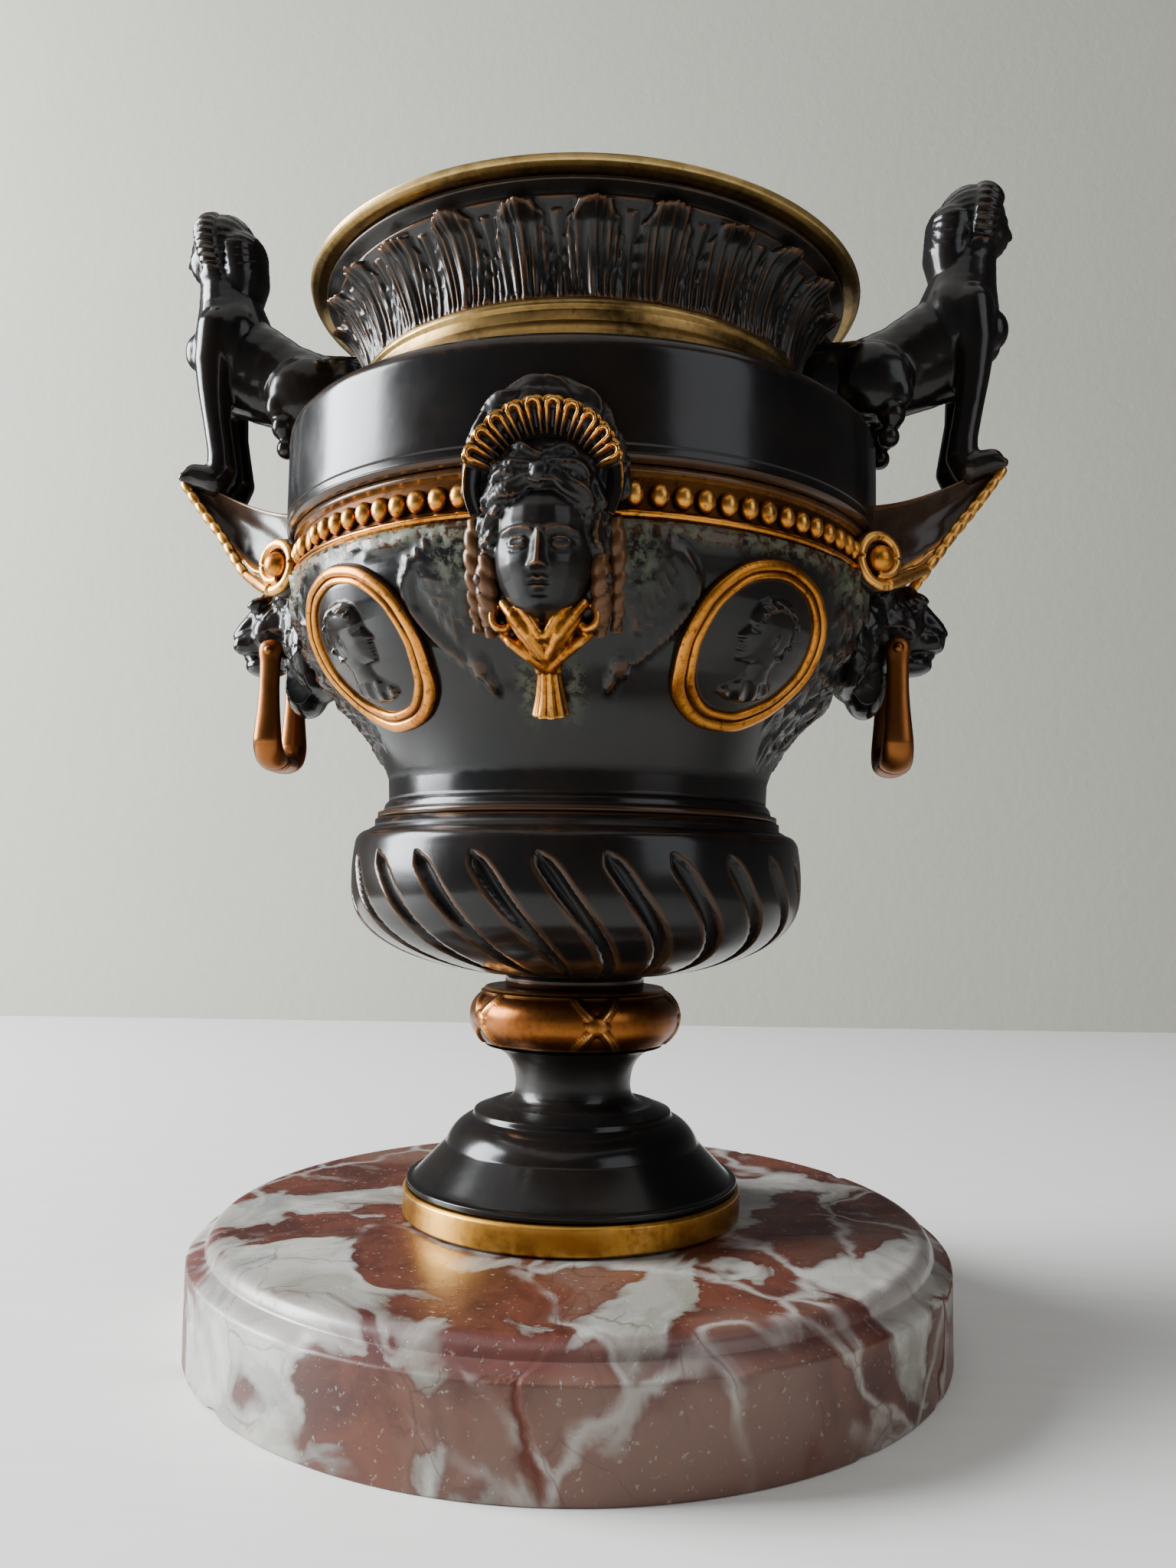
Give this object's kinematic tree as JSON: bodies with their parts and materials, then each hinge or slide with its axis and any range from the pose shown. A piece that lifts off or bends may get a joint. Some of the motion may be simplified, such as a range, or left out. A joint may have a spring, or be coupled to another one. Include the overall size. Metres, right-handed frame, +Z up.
{
  "type": "two-handled urn on a round plinth",
  "caption": "Dark bronze urn with spiral-fluted bowl, leafy flaring mouth, seated sphinx handles, masks, medallions and drop handles, on a round marble plinth.",
  "frame": {"origin": "centre of the plinth's underside", "axes": "+Z up along the urn's axis, -Y towards the front mask, +X towards one sphinx handle"},
  "size_m": [0.1764, 0.1424, 0.2274],
  "materials": {
    "black_bronze": "cast bronze with a glossy black patina, rubbed brown on edges",
    "gilt_bronze": "aged orange gilding with dark recesses",
    "aged_brass": "turned brass gone olive",
    "copper_bronze": "coppery brown bronze",
    "red_marble": "polished red and grey veined marble"
  },
  "bodies": {
    "vase": {"plinth": "red_marble", "foot_ring": "gilt_bronze", "foot": "black_bronze", "knop": "gilt_bronze", "bowl": "black_bronze", "bell": "black_bronze", "bead_band": "gilt_bronze", "drum": "black_bronze", "collar": "aged_brass", "neck": "black_bronze", "lip": "aged_brass", "mask_front": "black_bronze", "mask_back": "black_bronze", "frame_1": "gilt_bronze", "plaque_1": "black_bronze", "frame_2": "gilt_bronze", "plaque_2": "black_bronze", "frame_3": "gilt_bronze", "plaque_3": "black_bronze", "frame_4": "gilt_bronze", "plaque_4": "black_bronze", "bracket_right": "gilt_bronze", "sphinx_right": "black_bronze", "lion_right": "black_bronze", "bracket_left": "gilt_bronze", "sphinx_left": "black_bronze", "lion_left": "black_bronze"},
    "handle_right": {"ring_right": "copper_bronze"},
    "handle_left": {"ring_left": "copper_bronze"}
  },
  "joints": [
    {"name": "handle_right_swing", "type": "hinge", "parent": "vase", "child": "handle_right", "pos_m": [0.062, 0, 0.1293], "axis": [0, 1, 0], "range_deg": [-100, 30]},
    {"name": "handle_left_swing", "type": "hinge", "parent": "vase", "child": "handle_left", "pos_m": [-0.062, 0, 0.1293], "axis": [0, -1, 0], "range_deg": [-100, 30]}
  ]
}
